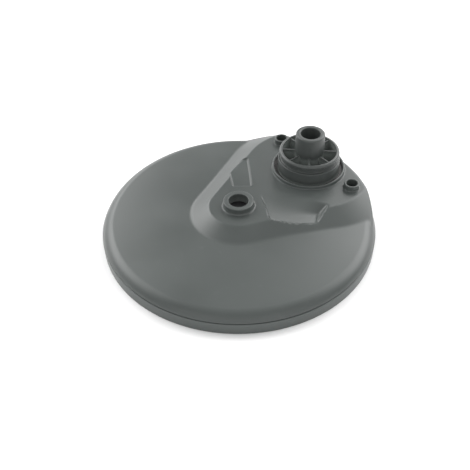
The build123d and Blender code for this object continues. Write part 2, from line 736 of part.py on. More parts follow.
with BuildPart() as bearing_spacer:
    add(ring(spindle_r + fit_gap, inner_race_r, upper_bearing_z + bearing_h, swivel_low_z))
    revolve(axis=Axis.Z)
save(bearing_spacer, "bearing_spacer")


# ---- ball bearings ---------------------------------------------------------------------------
def race(inner_r, outer_r, low_z):
    """One race: a plain ring with a round ball track."""
    with BuildPart() as solid:
        add(ring(inner_r, outer_r, low_z, low_z + bearing_h))
        revolve(axis=Axis.Z)
        with BuildSketch(upright()):
            with Locations((pitch_r, low_z + bearing_h / 2)):
                Circle(ball_r + ball_gap)
        revolve(axis=Axis.Z, mode=Mode.SUBTRACT)
    return solid


def ball_set(low_z):
    with BuildPart() as solid:
        with Locations((0, 0, low_z + bearing_h / 2)):
            with PolarLocations(pitch_r, ball_count):
                Sphere(ball_r)
    return solid


def cage(low_z):
    """Thin ring between the races with one round pocket for each ball."""
    with BuildPart() as solid:
        add(ring(pitch_r - cage_half_t, pitch_r + cage_half_t, low_z + cage_margin,
                 low_z + bearing_h - cage_margin))
        revolve(axis=Axis.Z)
        with Locations((0, 0, low_z + bearing_h / 2)):
            with PolarLocations(pitch_r, ball_count):
                Cylinder(ball_r + 0.1, 4.0, rotation=(0, 90, 0), mode=Mode.SUBTRACT)
    return solid


for level, low_z in (("lower", lower_bearing_z), ("upper", upper_bearing_z)):
    save(race(spindle_r + fit_gap, inner_race_r, low_z), f"{level}_inner_race")
    save(race(outer_race_r, bearing_r, low_z), f"{level}_outer_race")
    save(ball_set(low_z), f"{level}_bearing_balls")
    save(cage(low_z), f"{level}_ball_cage")

# ---- rotor -----------------------------------------------------------------------------------
with BuildPart() as rotor_hub:
    seat_r = bearing_r + fit_gap
    lower_seat_z = lower_bearing_z + bearing_h
    with BuildSketch(upright()):
        with BuildLine():
            # outside, then down the bore: upper bearing, upper seal, gallery, lower seal, lower
            # bearing and the circlip's groove
            Polyline((rotor_mouth_r, rotor_low_z), (rotor_neck_r, rotor_low_z),
                     (rotor_hub_r, rotor_shoulder_z), (rotor_hub_r, rotor_cone_z),
                     (rotor_neck_r, rotor_top_z - 1.0),
                     (rotor_neck_r, rotor_top_z), (seat_r, rotor_top_z), (seat_r, upper_bearing_z),
                     (seal_r, upper_bearing_z), (seal_r, upper_bearing_z - seal_h),
                     (gallery_r, upper_bearing_z - seal_h), (gallery_r, lower_seat_z + seal_h),
                     (seal_r, lower_seat_z + seal_h), (seal_r, lower_seat_z), (seat_r, lower_seat_z),
                     (seat_r, lower_bearing_z), (circlip_r + 0.1, lower_bearing_z),
                     (circlip_r + 0.1, lower_bearing_z - circlip_t - 0.1),
                     (rotor_mouth_r, lower_bearing_z - circlip_t - 0.1), close=True)
        make_face()
    revolve(axis=Axis.Z)
    for way in (1, -1):
        with BuildSketch(arm_plane(way * spindle_r)):
            Circle(arm_bore_r)
        extrude(amount=way * through, mode=Mode.SUBTRACT)
        with BuildSketch(arm_plane(way * (arm_start_x - 0.1))):
            Circle(arm_r + fit_gap)
        extrude(amount=way * through, mode=Mode.SUBTRACT)
save(rotor_hub, "rotor_hub")

for level, low_z in (("lower", lower_bearing_z + bearing_h), ("upper", upper_bearing_z - seal_h)):
    with BuildPart() as seal:
        add(ring(spindle_r + running_gap, seal_r - fit_gap,
                 low_z + running_gap, low_z + seal_h - running_gap))
        revolve(axis=Axis.Z)
    save(seal, f"{level}_spindle_seal")

with BuildPart() as bearing_circlip:
    circlip_top_z = lower_bearing_z - running_gap
    add(ring(circlip_inner_r, circlip_r, circlip_top_z - circlip_t, circlip_top_z))
    revolve(axis=Axis.Z)
    with BuildSketch(Plane.XY.offset(circlip_top_z - 2 * circlip_t)):
        with Locations((0, circlip_r)):
            Rectangle(circlip_gap, circlip_inner_r)
    extrude(amount=3 * circlip_t, mode=Mode.SUBTRACT)
save(bearing_circlip, "bearing_circlip")

with BuildPart() as arm_lock_nuts:
    for way in (1, -1):
        with BuildSketch(arm_plane(way * arm_nut_x)):
            hexagon(arm_nut_half_w)
            Circle(arm_r + fit_gap, mode=Mode.SUBTRACT)
        extrude(amount=way * arm_nut_l)
save(arm_lock_nuts, "arm_lock_nuts")


def jet_plane(way, distance):
    """Across a nozzle's tilted axis, at a distance along the jet from its start above the arm."""
    lean = math.radians(nozzle_tilt) * way
    jet = (0, math.sin(lean), -math.cos(lean))
    origin = (way * nozzle_x, jet[1] * distance, arm_z - 0.5 + jet[2] * distance)
    return Plane(origin, x_dir=(1, 0, 0), z_dir=jet)


hex_start = nozzle_start + nozzle_shank_l - 0.1
for way, word in ((1, "right"), (-1, "left")):
    with BuildPart() as arm:
        with BuildSketch(arm_plane(way * arm_start_x)):
            Circle(arm_r)
            Circle(arm_bore_r, mode=Mode.SUBTRACT)
        extrude(amount=way * (arm_end_x - arm_start_x))
    save(arm, f"spray_arm_{word}")

    with BuildPart() as holder:
        with BuildSketch(arm_plane(way * holder_start_x)):
            Circle(holder_r)
        extrude(amount=way * holder_l)
        with BuildSketch(Plane.XY.offset(arm_z - arm_bore_r)):
            with Locations((way * nozzle_x, 0)):
                Circle(holder_body_r)
        extrude(amount=holder_l)
        with BuildSketch(jet_plane(way, -1.0)):
            Circle(holder_jet_r)
        extrude(amount=hex_start + 0.4)
        with BuildSketch(arm_plane(way * (holder_start_x - 1.0))):
            Circle(arm_r + fit_gap)
        extrude(amount=way * (arm_end_x - holder_start_x + 1.1), mode=Mode.SUBTRACT)
        with BuildSketch(arm_plane(way * holder_start_x)):
            Circle(holder_bore_r)
        extrude(amount=way * (nozzle_x - holder_start_x), mode=Mode.SUBTRACT)
        with BuildSketch(jet_plane(way, nozzle_start - 0.1)):
            Circle(nozzle_r + fit_gap)
        extrude(amount=through, mode=Mode.SUBTRACT)
    save(holder, f"nozzle_holder_{word}")

    with BuildPart() as nozzle:
        with BuildSketch(jet_plane(way, nozzle_start)):
            Circle(nozzle_r)
        extrude(amount=nozzle_shank_l)
        with BuildSketch(jet_plane(way, hex_start)):
            hexagon(nozzle_hex_half_w)
        extrude(amount=nozzle_hex_l)
        with BuildSketch(jet_plane(way, hex_start + nozzle_hex_l)):
            Circle(nozzle_tip_r)
        extrude(amount=nozzle_tip_l, taper=25)
        with BuildSketch(jet_plane(way, 0.0)):
            Circle(nozzle_bore_r)
        extrude(amount=through, mode=Mode.SUBTRACT)
    save(nozzle, f"nozzle_{word}")

with BuildPart() as nozzle_o_rings:
    for way in (1, -1):
        with BuildSketch(jet_plane(way, hex_start - 0.58)):
            Circle(nozzle_ring_r)
            Circle(nozzle_r + 0.1, mode=Mode.SUBTRACT)
        extrude(amount=0.56)
save(nozzle_o_rings, "nozzle_o_rings")
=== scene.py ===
import json
import math

import bmesh
import bpy
import numpy as np
from mathutils import Matrix, Vector
from mathutils.geometry import delaunay_2d_cdt
from mathutils.kdtree import KDTree


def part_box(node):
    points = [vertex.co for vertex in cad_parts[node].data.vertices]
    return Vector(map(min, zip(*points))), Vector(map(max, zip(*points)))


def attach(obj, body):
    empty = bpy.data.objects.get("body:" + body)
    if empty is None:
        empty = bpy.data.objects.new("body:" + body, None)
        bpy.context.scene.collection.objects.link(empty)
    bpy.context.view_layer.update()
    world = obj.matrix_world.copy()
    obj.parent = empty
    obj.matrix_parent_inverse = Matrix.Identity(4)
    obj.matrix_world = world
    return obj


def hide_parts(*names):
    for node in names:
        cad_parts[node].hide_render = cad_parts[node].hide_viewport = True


# Looks of a round surface cleaner head. The shape code works in millimetres in the CAD model's
# frame: +Z up, the disc's centre at the origin, the handle hub towards +Y.
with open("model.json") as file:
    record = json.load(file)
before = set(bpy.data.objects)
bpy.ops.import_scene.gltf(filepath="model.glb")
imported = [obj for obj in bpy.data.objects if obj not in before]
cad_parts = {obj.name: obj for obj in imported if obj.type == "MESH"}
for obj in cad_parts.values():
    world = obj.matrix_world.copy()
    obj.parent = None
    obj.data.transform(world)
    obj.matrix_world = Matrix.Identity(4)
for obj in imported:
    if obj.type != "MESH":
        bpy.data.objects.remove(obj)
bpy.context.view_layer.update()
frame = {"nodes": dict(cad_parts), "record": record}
MM = 0.001

# ---- sizes read from the frame ---------------------------------------------------------------
MOUNTS = {m["name"]: m for m in frame["record"]["mounts"]}


def box_mm(node):
    low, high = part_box(node)
    return np.array(low) / MM, np.array(high) / MM


deck_low, deck_high = box_mm("dome_housing")
hub_low, hub_high = box_mm("hub_spool")
skirt_low, skirt_high = box_mm("skirt_ring")

DISC_R = min(-skirt_low[0], skirt_high[0], -skirt_low[1], skirt_high[1])
RIM_R = (deck_high[0] - deck_low[0]) / 2
SKIRT_H = skirt_high[2]
SKIRT_FOOT = deck_low[2]
BOSS_TOP = deck_high[2]
HUB_Y = (hub_low[1] + hub_high[1]) / 2
HUB_TOP = hub_high[2]
HUB_LOW = hub_low[2]
SCREW_BOSS_X = MOUNTS["screw_bosses"]["dims"]["spacing_x_mm"] / 2
SCREW_BOSS_Y = MOUNTS["screw_bosses"]["pos_m"][1] / MM
SCREW_BOSS_HOLE_R = MOUNTS["screw_bosses"]["dims"]["hole_r_mm"]
BOSS_BORE_R = MOUNTS["boss_bore"]["dims"]["r_mm"]
SOCKET_R = MOUNTS["hub_socket"]["dims"]["r_mm"]

# ---- deck shape, as in the CAD model ---------------------------------------------------------
CROWN_Z = 24.4
CROWN_R = 2800.0
MOUND_Z = 32.75
NOSE_R = 30.5
HALF_ANGLE = math.radians(22.8)
FLANK_ANGLE = math.radians(25.8)
EDGE_ROUND = 5.0         # roundness of the mound's top edge
FOOT_BLEND = 1.0         # how softly the flanks run into the dome
PAD_R = NOSE_R + HUB_Y * math.sin(HALF_ANGLE)    # round rear of the mound, about the hub
REAR_R = 137.6           # rear wall of the mound
REAR_ROUND = 3.2
WALL = 3.0
HOLLOW_SHRINK = 0.7      # the hollow's outline lies this far inside the mound's
WALL_R = 137.0           # rim wall inside the skirt ring
CHANNEL = math.radians(50.3)
BAND_R = 126.0           # the rim band starts here
ROLL_R = 127.7           # the dome rolls over into the rim from here
GROOVE = 0.8             # between the deck's edge and the skirt ring
COLUMNS = 600            # steps round the rim band
CENTRE_BOSS_R = 15.5
SCREW_BOSS_R = 7.9
SCREW_BOSS_TOP = 38.7
SINK = 0.06              # bosses and collar start this far below the mound's top
TOP_SPACING = 1.35       # size of the deck's triangles, outside and inside
HOLLOW_SPACING = 2.4


# ---- numbers ---------------------------------------------------------------------------------
def smooth_max(a, b, k):
    """Larger of a and b, rounded where they differ by less than k."""
    near = np.maximum(k - np.abs(a - b), 0.0) / k
    return np.maximum(a, b) + near * near * k / 4


def smooth_min(a, b, k):
    return -smooth_max(-a, -b, k)


def hermite(x, x0, y0, slope0, x1, y1, slope1):
    """Cubic between two points with given slopes."""
    w = x1 - x0
    t = (x - x0) / w
    return ((2 * t**3 - 3 * t**2 + 1) * y0 + (t**3 - 2 * t**2 + t) * w * slope0
            + (-2 * t**3 + 3 * t**2) * y1 + (t**3 - t**2) * w * slope1)


def dome(r):
    return CROWN_Z - r**2 / (2 * CROWN_R)


def rounded_fall(distance, top, angle, radius):
    """Height of a flat top that rounds over into a straight slope outside distance 0."""
    start = -radius * math.tan(angle / 2)
    end = start + radius * math.sin(angle)
    arc = top - radius + np.sqrt(np.maximum(radius**2 - (distance - start)**2, 0))
    slope = top - radius * (1 - math.cos(angle)) - math.tan(angle) * (distance - end)
    return np.where(distance < start, top, np.where(distance < end, arc, slope))


def mound_distance(x, y):
    """Plan distance outside the mound's top outline: round nose, straight sides, round rear."""
    ax = np.abs(x)
    along = ax * math.sin(HALF_ANGLE) + y * math.cos(HALF_ANGLE)
    side = ax * math.cos(HALF_ANGLE) - y * math.sin(HALF_ANGLE) - NOSE_R
    nose = np.hypot(x, y) - NOSE_R
    pad = np.hypot(x, y - HUB_Y) - PAD_R
    return np.where(along < 0, nose, np.where(along < HUB_Y * math.cos(HALF_ANGLE), side, pad))


def channel_frame(x, y, hand):
    """Distances along and across a recess, right for hand +1 and left for hand -1."""
    along = hand * x * math.sin(CHANNEL) + y * math.cos(CHANNEL)
    across = -hand * x * math.cos(CHANNEL) + y * math.sin(CHANNEL)
    return along, across


def channel_to_plan(along, across, hand):
    x = along * math.sin(CHANNEL) - across * math.cos(CHANNEL)
    y = along * math.cos(CHANNEL) + across * math.sin(CHANNEL)
    return np.stack([hand * x, y], axis=-1)


def polygon_distance(x, y, corners, radius):
    """Signed distance outside a convex polygon with rounded corners (corners anticlockwise)."""
    corners = np.array(corners)
    following = np.roll(corners, -1, axis=0)
    best = np.full(np.shape(x), 1e9)
    inside = np.full(np.shape(x), -1e9)
    for a, b in zip(corners, following):
        edge = (b - a) / np.linalg.norm(b - a)
        normal = np.array([edge[1], -edge[0]])
        px = x - a[0] + normal[0] * radius
        py = y - a[1] + normal[1] * radius
        inside = np.maximum(inside, px * normal[0] + py * normal[1])
    inset = inset_polygon(corners, radius)
    for a, b in zip(inset, np.roll(inset, -1, axis=0)):
        d = b - a
        t = np.clip(((x - a[0]) * d[0] + (y - a[1]) * d[1]) / (d @ d), 0, 1)
        best = np.minimum(best, np.hypot(x - a[0] - t * d[0], y - a[1] - t * d[1]))
    return np.where(inside > 0, best, inside) - radius


def inset_polygon(corners, amount):
    """Convex polygon with every side moved inwards."""
    corners = np.array(corners)
    out = []
    for before, corner, after in zip(np.roll(corners, 1, axis=0), corners,
                                     np.roll(corners, -1, axis=0)):
        e1 = (corner - before) / np.linalg.norm(corner - before)
        e2 = (after - corner) / np.linalg.norm(after - corner)
        n1 = np.array([-e1[1], e1[0]])
        n2 = np.array([-e2[1], e2[0]])
        out.append(corner + (n1 + n2) * amount / (1 + n1 @ n2))
    return np.array(out)


# ---- deck heights ----------------------------------------------------------------------------
RECESS_DEPTH = 1.8
RECESS_ROUND = 1.8
RECESS_CORNERS = channel_to_plan(np.array([33.0, 56.0, 80.2, 80.1, 58.0, 33.0]),
                                 np.array([-5.5, -8.7, 4.6, 9.5, 11.4, 13.0]), -1)[::-1]
WALL_SLOPE = 1.05        # steepness of the recesses' short walls

FOOT_CURVE = np.polyfit([33.0, 45.4, 57.3, 69.5, 78.0], [3.8, 0.4, 1.7, 5.4, 7.9], 3)
ROLL_CURVE = np.polyfit([24.0, 31.0, 42.0, 54.5, 67.5, 80.0, 84.0],
                        [18.5, 22.6, 24.2, 23.4, 21.9, 19.4, 17.6], 3)
LIP_CURVE = np.polyfit([30.0, 39.0, 54.3, 75.2, 82.5], [-12.3, -13.6, -13.2, -8.0, -4.8], 3)
SCOOP_FLOOR_Z = 31.2     # at its inner end, SCOOP_START along the channel
SCOOP_START = 30.0
SCOOP_FALL = 0.109
SCOOP_END = 82.8
END_SLOPE = 1.0          # steepness of the scoop's far wall, which starts END_EARLY before its end
END_EARLY = 1.8
STEP_SLOPE = 3.0
STEP_SET = 0.3
LIP_SLOPE = 1.5
CLEAR_ABOVE = 5.0        # height over the mound where the scoop takes nothing away
SCOOP_REACH = 8.0        # no part of the scoop lies further than this beyond its upper edge
STEP_POINT = np.array([28.4, 1.5])          # on the inner step, in channel distances
STEP_LEAN = math.atan2(7.7, 18.8)           # the step isn't square to the channel


def scoop_height(x, y, grow=0.0):
    """Surface of the ramped scoop in the right flank."""
    along, across = channel_frame(x, y, 1)
    u = np.clip(along, 20, 90)
    floor = SCOOP_FLOOR_Z - SCOOP_FALL * (along - SCOOP_START)
    foot = np.polyval(FOOT_CURVE, u)
    roll = np.polyval(ROLL_CURVE, u) + grow
    slope = floor + (across - foot) / (roll - foot) * (MOUND_Z - floor)
    step = (-(along - STEP_POINT[0]) * math.cos(STEP_LEAN)
            - (across - STEP_POINT[1]) * math.sin(STEP_LEAN)) - grow
    end = along - SCOOP_END - grow
    lip = np.polyval(LIP_CURVE, u) - across - grow
    surface = smooth_max(floor, slope, 1.6)
    surface = smooth_max(surface, floor + STEP_SLOPE * (step - STEP_SET), 0.4)
    surface = smooth_max(surface, floor + END_SLOPE * (end + END_EARLY), 2.2)
    surface = smooth_max(surface, floor + LIP_SLOPE * lip, 0.5)
    return np.where(across > roll + SCOOP_REACH, MOUND_Z + CLEAR_ABOVE, surface)


def deck_height(x, y):
    """Top of the deck inside the rim band."""
    r = np.hypot(x, y)
    mound = rounded_fall(mound_distance(x, y), MOUND_Z, FLANK_ANGLE, EDGE_ROUND)
    mound = smooth_min(mound, scoop_height(x, y), 0.8)
    outside = polygon_distance(x, y, RECESS_CORNERS, RECESS_ROUND)
    recess = smooth_max(MOUND_Z - RECESS_DEPTH + 0 * x,
                        MOUND_Z - RECESS_DEPTH + WALL_SLOPE * outside, 0.5)
    mound = smooth_min(mound, recess, 0.35)
    return smooth_max(dome(r), mound, FOOT_BLEND)


def hollow_height(x, y):
    """Underside of the deck inside the rim band."""
    r = np.hypot(x, y)
    mound = rounded_fall(mound_distance(x, y) + HOLLOW_SHRINK, MOUND_Z - WALL, FLANK_ANGLE, EDGE_ROUND - WALL)
    mound = smooth_min(mound, scoop_height(x, y, WALL) - WALL, 0.8)
    return smooth_max(dome(r) - WALL, mound, FOOT_BLEND)


RIM_LOW = SKIRT_H + GROOVE    # lower edge of the deck's rim
roll_slope = -ROLL_R / CROWN_R
roll_start = np.array([ROLL_R, dome(ROLL_R)])
roll_span = np.array([RIM_R, RIM_LOW]) - roll_start
roll_inwards = np.array([roll_slope, -1.0]) / math.hypot(roll_slope, 1.0)
ROUND_R = roll_span @ roll_span / (2 * roll_span @ roll_inwards)
ROUND_CENTRE = roll_start + ROUND_R * roll_inwards


def rim_height(r):
    """The dome, then an arc that runs on from it to the deck's edge."""
    arc = ROUND_CENTRE[1] + np.sqrt(np.maximum(ROUND_R**2 - (r - ROUND_CENTRE[0])**2, 0))
    return np.where(r < ROLL_R, dome(r), arc)


def resample(path, count):
    """Points at even distances along a plan or profile line."""
    steps = np.hypot(*np.diff(path, axis=0).T)
    length = np.concatenate([[0], np.cumsum(steps)])
    even = np.linspace(0, length[-1], count)
    return np.stack([np.interp(even, length, path[:, 0]), np.interp(even, length, path[:, 1])], 1)


def outer_column(angle):
    """Profile of the deck's outside at one angle: rim band, rear wall of the mound, rim wall."""
    r = np.linspace(BAND_R, REAR_R, 117)
    x, y = r * math.cos(angle), r * math.sin(angle)
    start = REAR_R - REAR_ROUND
    drop = REAR_ROUND - np.sqrt(REAR_ROUND**2 - np.clip(r - start, 0, REAR_ROUND)**2)
    mound = rounded_fall(mound_distance(x, y), MOUND_Z, FLANK_ANGLE, EDGE_ROUND) - drop
    top = smooth_max(rim_height(r), mound, FOOT_BLEND)
    rest = np.linspace(REAR_R, RIM_R, 8)
    path = np.concatenate([np.stack([r, top], 1), np.stack([rest, rim_height(rest)], 1),
                           [(RIM_R, RIM_LOW)]])
    return resample(path, 36)


def inner_column(angle):
    """Profile of the deck's inside at one angle, from the foot of the rim wall to the band."""
    wall_r = WALL_R - WALL
    r = np.linspace(BAND_R, wall_r, 81)
    x, y = r * math.cos(angle), r * math.sin(angle)
    mound = rounded_fall(mound_distance(x, y) + HOLLOW_SHRINK, MOUND_Z - WALL, FLANK_ANGLE, EDGE_ROUND - WALL)
    start = wall_r - REAR_ROUND
    drop = REAR_ROUND - np.sqrt(REAR_ROUND**2 - np.clip(r - start, 0, REAR_ROUND)**2)
    edge = dome(BAND_R) - WALL
    plain = hermite(r, BAND_R, edge, -BAND_R / CROWN_R, wall_r, edge - REAR_ROUND + 0.6, -1.2)
    top = smooth_max(plain, mound - drop, FOOT_BLEND)
    path = np.concatenate([np.stack([r, top], 1), [(wall_r, SKIRT_FOOT + 0.4)]])
    return resample(path, 26)[::-1]


# ---- meshes ----------------------------------------------------------------------------------
def mesh_object(name, vertices, faces):
    """Closed mesh from points in millimetres, with its normals facing out."""
    mesh = bpy.data.meshes.new(name)
    mesh.from_pydata((np.array(vertices, float) * MM).tolist(), [], faces)
    bm = bmesh.new()
    bm.from_mesh(mesh)
    bmesh.ops.recalc_face_normals(bm, faces=bm.faces)
    bm.to_mesh(mesh)
    bm.free()
    obj = bpy.data.objects.new(name, mesh)
    bpy.context.scene.collection.objects.link(obj)
    return obj


def round_corners(corners, closed=True):
    """Profile through (r, z, radius) corners, each with its arc."""
    points = []
    count = len(corners)
    for i, (r, z, radius) in enumerate(corners):
        corner = np.array([r, z])
        if radius == 0 or (not closed and i in (0, count - 1)):
            points.append(corner)
            continue
        to_before = np.array(corners[i - 1][:2]) - corner
        to_after = np.array(corners[(i + 1) % count][:2]) - corner
        a = to_before / np.linalg.norm(to_before)
        b = to_after / np.linalg.norm(to_after)
        angle = math.acos(np.clip(a @ b, -1, 1))
        reach = radius / math.tan(angle / 2)
        centre = corner + (a + b) / np.linalg.norm(a + b) * radius / math.sin(angle / 2)
        first = corner + a * reach - centre
        last = corner + b * reach - centre
        turn = math.pi - angle
        steps = max(2, math.ceil(turn / math.radians(15)))
        for k in range(steps + 1):
            w = k / steps
            mixed = math.sin((1 - w) * turn) * first + math.sin(w * turn) * last
            points.append(centre + mixed / math.sin(turn))
    return np.array(points)


def revolve(name, profile, centre=(0.0, 0.0), segments=160):
    """Closed profile turned about a vertical axis. Points on the axis become one vertex."""
    vertices, rings = [], []
    for r, z in profile:
        if r < 1e-6:
            rings.append([len(vertices)] * segments)
            vertices.append((centre[0], centre[1], z))
            continue
        rings.append(list(range(len(vertices), len(vertices) + segments)))
        for k in range(segments):
            a = 2 * math.pi * k / segments
            vertices.append((centre[0] + r * math.cos(a), centre[1] + r * math.sin(a), z))
    faces = []
    for here, there in zip(rings, rings[1:] + rings[:1]):
        if here[0] == here[1] and there[0] == there[1]:
            continue
        for k in range(segments):
            m = (k + 1) % segments
            face = dict.fromkeys((here[k], here[m], there[m], there[k]))
            faces.append(tuple(face))
    return mesh_object(name, vertices, faces)


def combine(target, tools, operation):
    """Boolean of the target with closed tool meshes, which are used up."""
    for tool in tools:
        step = target.modifiers.new("step", "BOOLEAN")
        step.operation = operation
        step.solver = "MANIFOLD"
        step.object = tool
        graph = bpy.context.evaluated_depsgraph_get()
        mesh = bpy.data.meshes.new_from_object(target.evaluated_get(graph))
        target.modifiers.clear()
        old = target.data
        target.data = mesh
        mesh.name = target.name
        bpy.data.meshes.remove(old)
        bpy.data.objects.remove(tool)
    return target


def finish_mesh(obj, angle=30):
    """Removes doubled points and tiny edges, and shades smoothly up to an angle."""
    bm = bmesh.new()
    bm.from_mesh(obj.data)
    bmesh.ops.remove_doubles(bm, verts=bm.verts, dist=0.004 * MM)
    bmesh.ops.dissolve_degenerate(bm, edges=bm.edges, dist=0.004 * MM)
    bm.to_mesh(obj.data)
    bm.free()
    obj.data.shade_smooth()
    obj.data.set_sharp_from_angle(angle=math.radians(angle))


def lattice(spacing, limit, lines):
    """Even triangular lattice inside a circle, with the points of feature lines put in."""
    tree = KDTree(sum(len(line) for line in lines) or 1)
    index = 0
    for line in lines:
        for p in line:
            tree.insert((p[0], p[1], 0), index)
            index += 1
    tree.balance()
    points = [tuple(p) for line in lines for p in line]
    row_step = spacing * math.sqrt(3) / 2
    rows = int(limit / row_step) + 1
    for j in range(-rows, rows + 1):
        y = j * row_step
        shift = spacing / 2 if j % 2 else 0.0
        for i in range(-rows - 1, rows + 2):
            x = i * spacing + shift
            if x * x + y * y > limit**2:
                continue
            if index and tree.find((x, y, 0))[2] < spacing * 0.55:
                continue
            points.append((x, y))
    return points


def skin(spacing, lines, height):
    """Triangles over the disc inside the rim band. Returns points, faces and the ring's indices."""
    points = lattice(spacing, BAND_R - spacing * 0.7, lines)
    first = len(points)
    turns = [2 * math.pi * k / COLUMNS for k in range(COLUMNS)]
    points += [(BAND_R * math.cos(a), BAND_R * math.sin(a)) for a in turns]
    edges = [(first + k, first + (k + 1) % COLUMNS) for k in range(COLUMNS)]
    plan, _, faces, origins, _, _ = delaunay_2d_cdt([Vector(p) for p in points], edges, [], 1, 1e-5)
    plan = np.array([tuple(p) for p in plan])
    found = {o: i for i, sources in enumerate(origins) for o in sources}
    ring = [found[first + k] for k in range(COLUMNS)]
    heights = height(plan[:, 0], plan[:, 1])
    return np.column_stack([plan, heights]), [tuple(f) for f in faces], ring


def offset_outline(corners, radius, offset, spacing):
    """Points round a rounded polygon, moved outwards by an offset."""
    inset = inset_polygon(corners, radius)
    reach = radius + offset
    line = []
    for before, corner, after in zip(np.roll(inset, 1, axis=0), inset, np.roll(inset, -1, axis=0)):
        e1 = (corner - before) / np.linalg.norm(corner - before)
        e2 = (after - corner) / np.linalg.norm(after - corner)
        a1 = math.atan2(-e1[0], e1[1])
        a2 = math.atan2(-e2[0], e2[1])
        turn = (a2 - a1) % (2 * math.pi)
        steps = max(2, math.ceil(turn * reach / spacing))
        for k in range(steps + 1):
            a = a1 + turn * k / steps
            line.append(corner + reach * np.array([math.cos(a), math.sin(a)]))
    line = np.array(line + [line[0]])
    count = int(np.hypot(*np.diff(line, axis=0).T).sum() / spacing)
    return resample(line, count)[:-1]


def mound_edge(offset, spacing=1.3):
    """Points along the mound's top outline, moved outwards by an offset."""
    nose_turns = np.arange(-math.pi / 2, -HALF_ANGLE, spacing / NOSE_R)
    pad_turns = np.arange(-HALF_ANGLE, math.pi / 2, spacing / PAD_R)
    nose_out = np.stack([np.cos(nose_turns), np.sin(nose_turns)], 1)
    pad_out = np.stack([np.cos(pad_turns), np.sin(pad_turns)], 1)
    side_out = np.array([math.cos(HALF_ANGLE), -math.sin(HALF_ANGLE)])
    side_along = np.array([math.sin(HALF_ANGLE), math.cos(HALF_ANGLE)])
    steps = np.arange(0, HUB_Y * math.cos(HALF_ANGLE), spacing)[:, None]
    base = np.concatenate([NOSE_R * nose_out, NOSE_R * side_out + steps * side_along,
                           np.array([0, HUB_Y]) + PAD_R * pad_out])
    out = np.concatenate([nose_out, np.broadcast_to(side_out, (len(steps), 2)), pad_out])
    right = base + out * offset
    right = right[np.hypot(right[:, 0], right[:, 1]) < BAND_R - 1.2]
    return np.concatenate([right, right[1:] * [-1, 1]])


def deck_lines():
    """Lines that the deck's triangles follow, so that its edges and short walls come out crisp."""
    lines = [mound_edge(offset) for offset in (-1.15, -0.6, -0.05, 0.5, 1.05)]
    lines += [mound_edge(offset) for offset in np.arange(15.5, 24.0, 0.9)]
    for offset in (-0.6, 0.0, 0.6, 1.2, 1.8, 2.4):
        lines.append(offset_outline(RECESS_CORNERS, RECESS_ROUND, offset, 0.9))
    across_step = np.linspace(-9.0, 20.0, 34)
    for offset in (-0.3, 0.1, 0.5, 0.9, 1.3):
        start = STEP_POINT[0] - offset / math.cos(STEP_LEAN)
        along = start - (across_step - STEP_POINT[1]) * math.tan(STEP_LEAN)
        lines.append(channel_to_plan(along, across_step, 1))
    across_end = np.linspace(-3.0, 17.0, 24)
    for offset in np.arange(-3.0, 3.6, 0.6):
        lines.append(channel_to_plan(0 * across_end + SCOOP_END + offset, across_end, 1))
    return lines


def rows_of_faces(rows):
    """Quads between rows of vertex indices that close on themselves."""
    faces = []
    for here, there in zip(rows, rows[1:]):
        for k in range(COLUMNS):
            m = (k + 1) % COLUMNS
            faces.append((here[k], here[m], there[m], there[k]))
    return faces


def deck_shell():
    """Closed shell of the deck without its bosses: top skin, rim, rim wall and underside."""
    top, top_faces, top_ring = skin(TOP_SPACING, deck_lines(), deck_height)
    low, low_faces, low_ring = skin(HOLLOW_SPACING, [], hollow_height)
    turns = [2 * math.pi * k / COLUMNS for k in range(COLUMNS)]
    outer = np.array([outer_column(a) for a in turns])[:, 1:]
    inner = np.array([inner_column(a) for a in turns])[:, :-1]
    step = round_corners([(RIM_R, RIM_LOW, 0), (WALL_R, RIM_LOW - 0.5, 0.2),
                          (WALL_R, SKIRT_FOOT, 0.3), (WALL_R - WALL, SKIRT_FOOT, 0.3),
                          (WALL_R - WALL, SKIRT_FOOT + 0.4, 0)], closed=False)[1:-1]
    step = np.broadcast_to(step, (COLUMNS,) + step.shape)
    columns = np.concatenate([outer, step, inner], axis=1)
    vertices = [tuple(p) for p in top]
    low_start = len(vertices)
    vertices += [tuple(p) for p in low]
    rows = [top_ring]
    for j in range(columns.shape[1]):
        start = len(vertices)
        for a, (r, z) in zip(turns, columns[:, j]):
            vertices.append((r * math.cos(a), r * math.sin(a), z))
        rows.append(list(range(start, start + COLUMNS)))
    rows.append([low_start + i for i in low_ring])
    faces = list(top_faces)
    faces += [tuple(low_start + i for i in f) for f in low_faces]
    faces += rows_of_faces(rows)
    return mesh_object("deck", vertices, faces)


def boss(name, centre, outer_r, bore_r, top, flare):
    """Open boss with rounded rims and a flared foot in the deck."""
    base = MOUND_Z - SINK
    side = [(outer_r, top, 0.9), (outer_r, base + flare, 0), (outer_r + 0.14 * flare, base + 0.5 * flare, 0),
            (outer_r + 0.45 * flare, base + 0.16 * flare, 0), (outer_r + flare, base, 0),
            (outer_r + flare, base - 1.2, 0), (bore_r, base - 1.2, 0), (bore_r, top, 0.7)]
    return revolve(name, round_corners(side), centre, 112)


def cylinder(name, centre, radius, low, high, segments=112):
    profile = np.array([(0, low), (radius, low), (radius, high), (0, high)])
    return revolve(name, profile, centre, segments)


SEAT_LOW = 26.5
SEAT_Z = 28.5
SEAT_OPENING_R = 28.0
COLLAR_R = 38.9
COLLAR_BORE_R = 37.0
COLLAR_Z = 36.6
SNAP_Z = 31.9
SNAP_H = 1.5
SNAP_R = 37.7


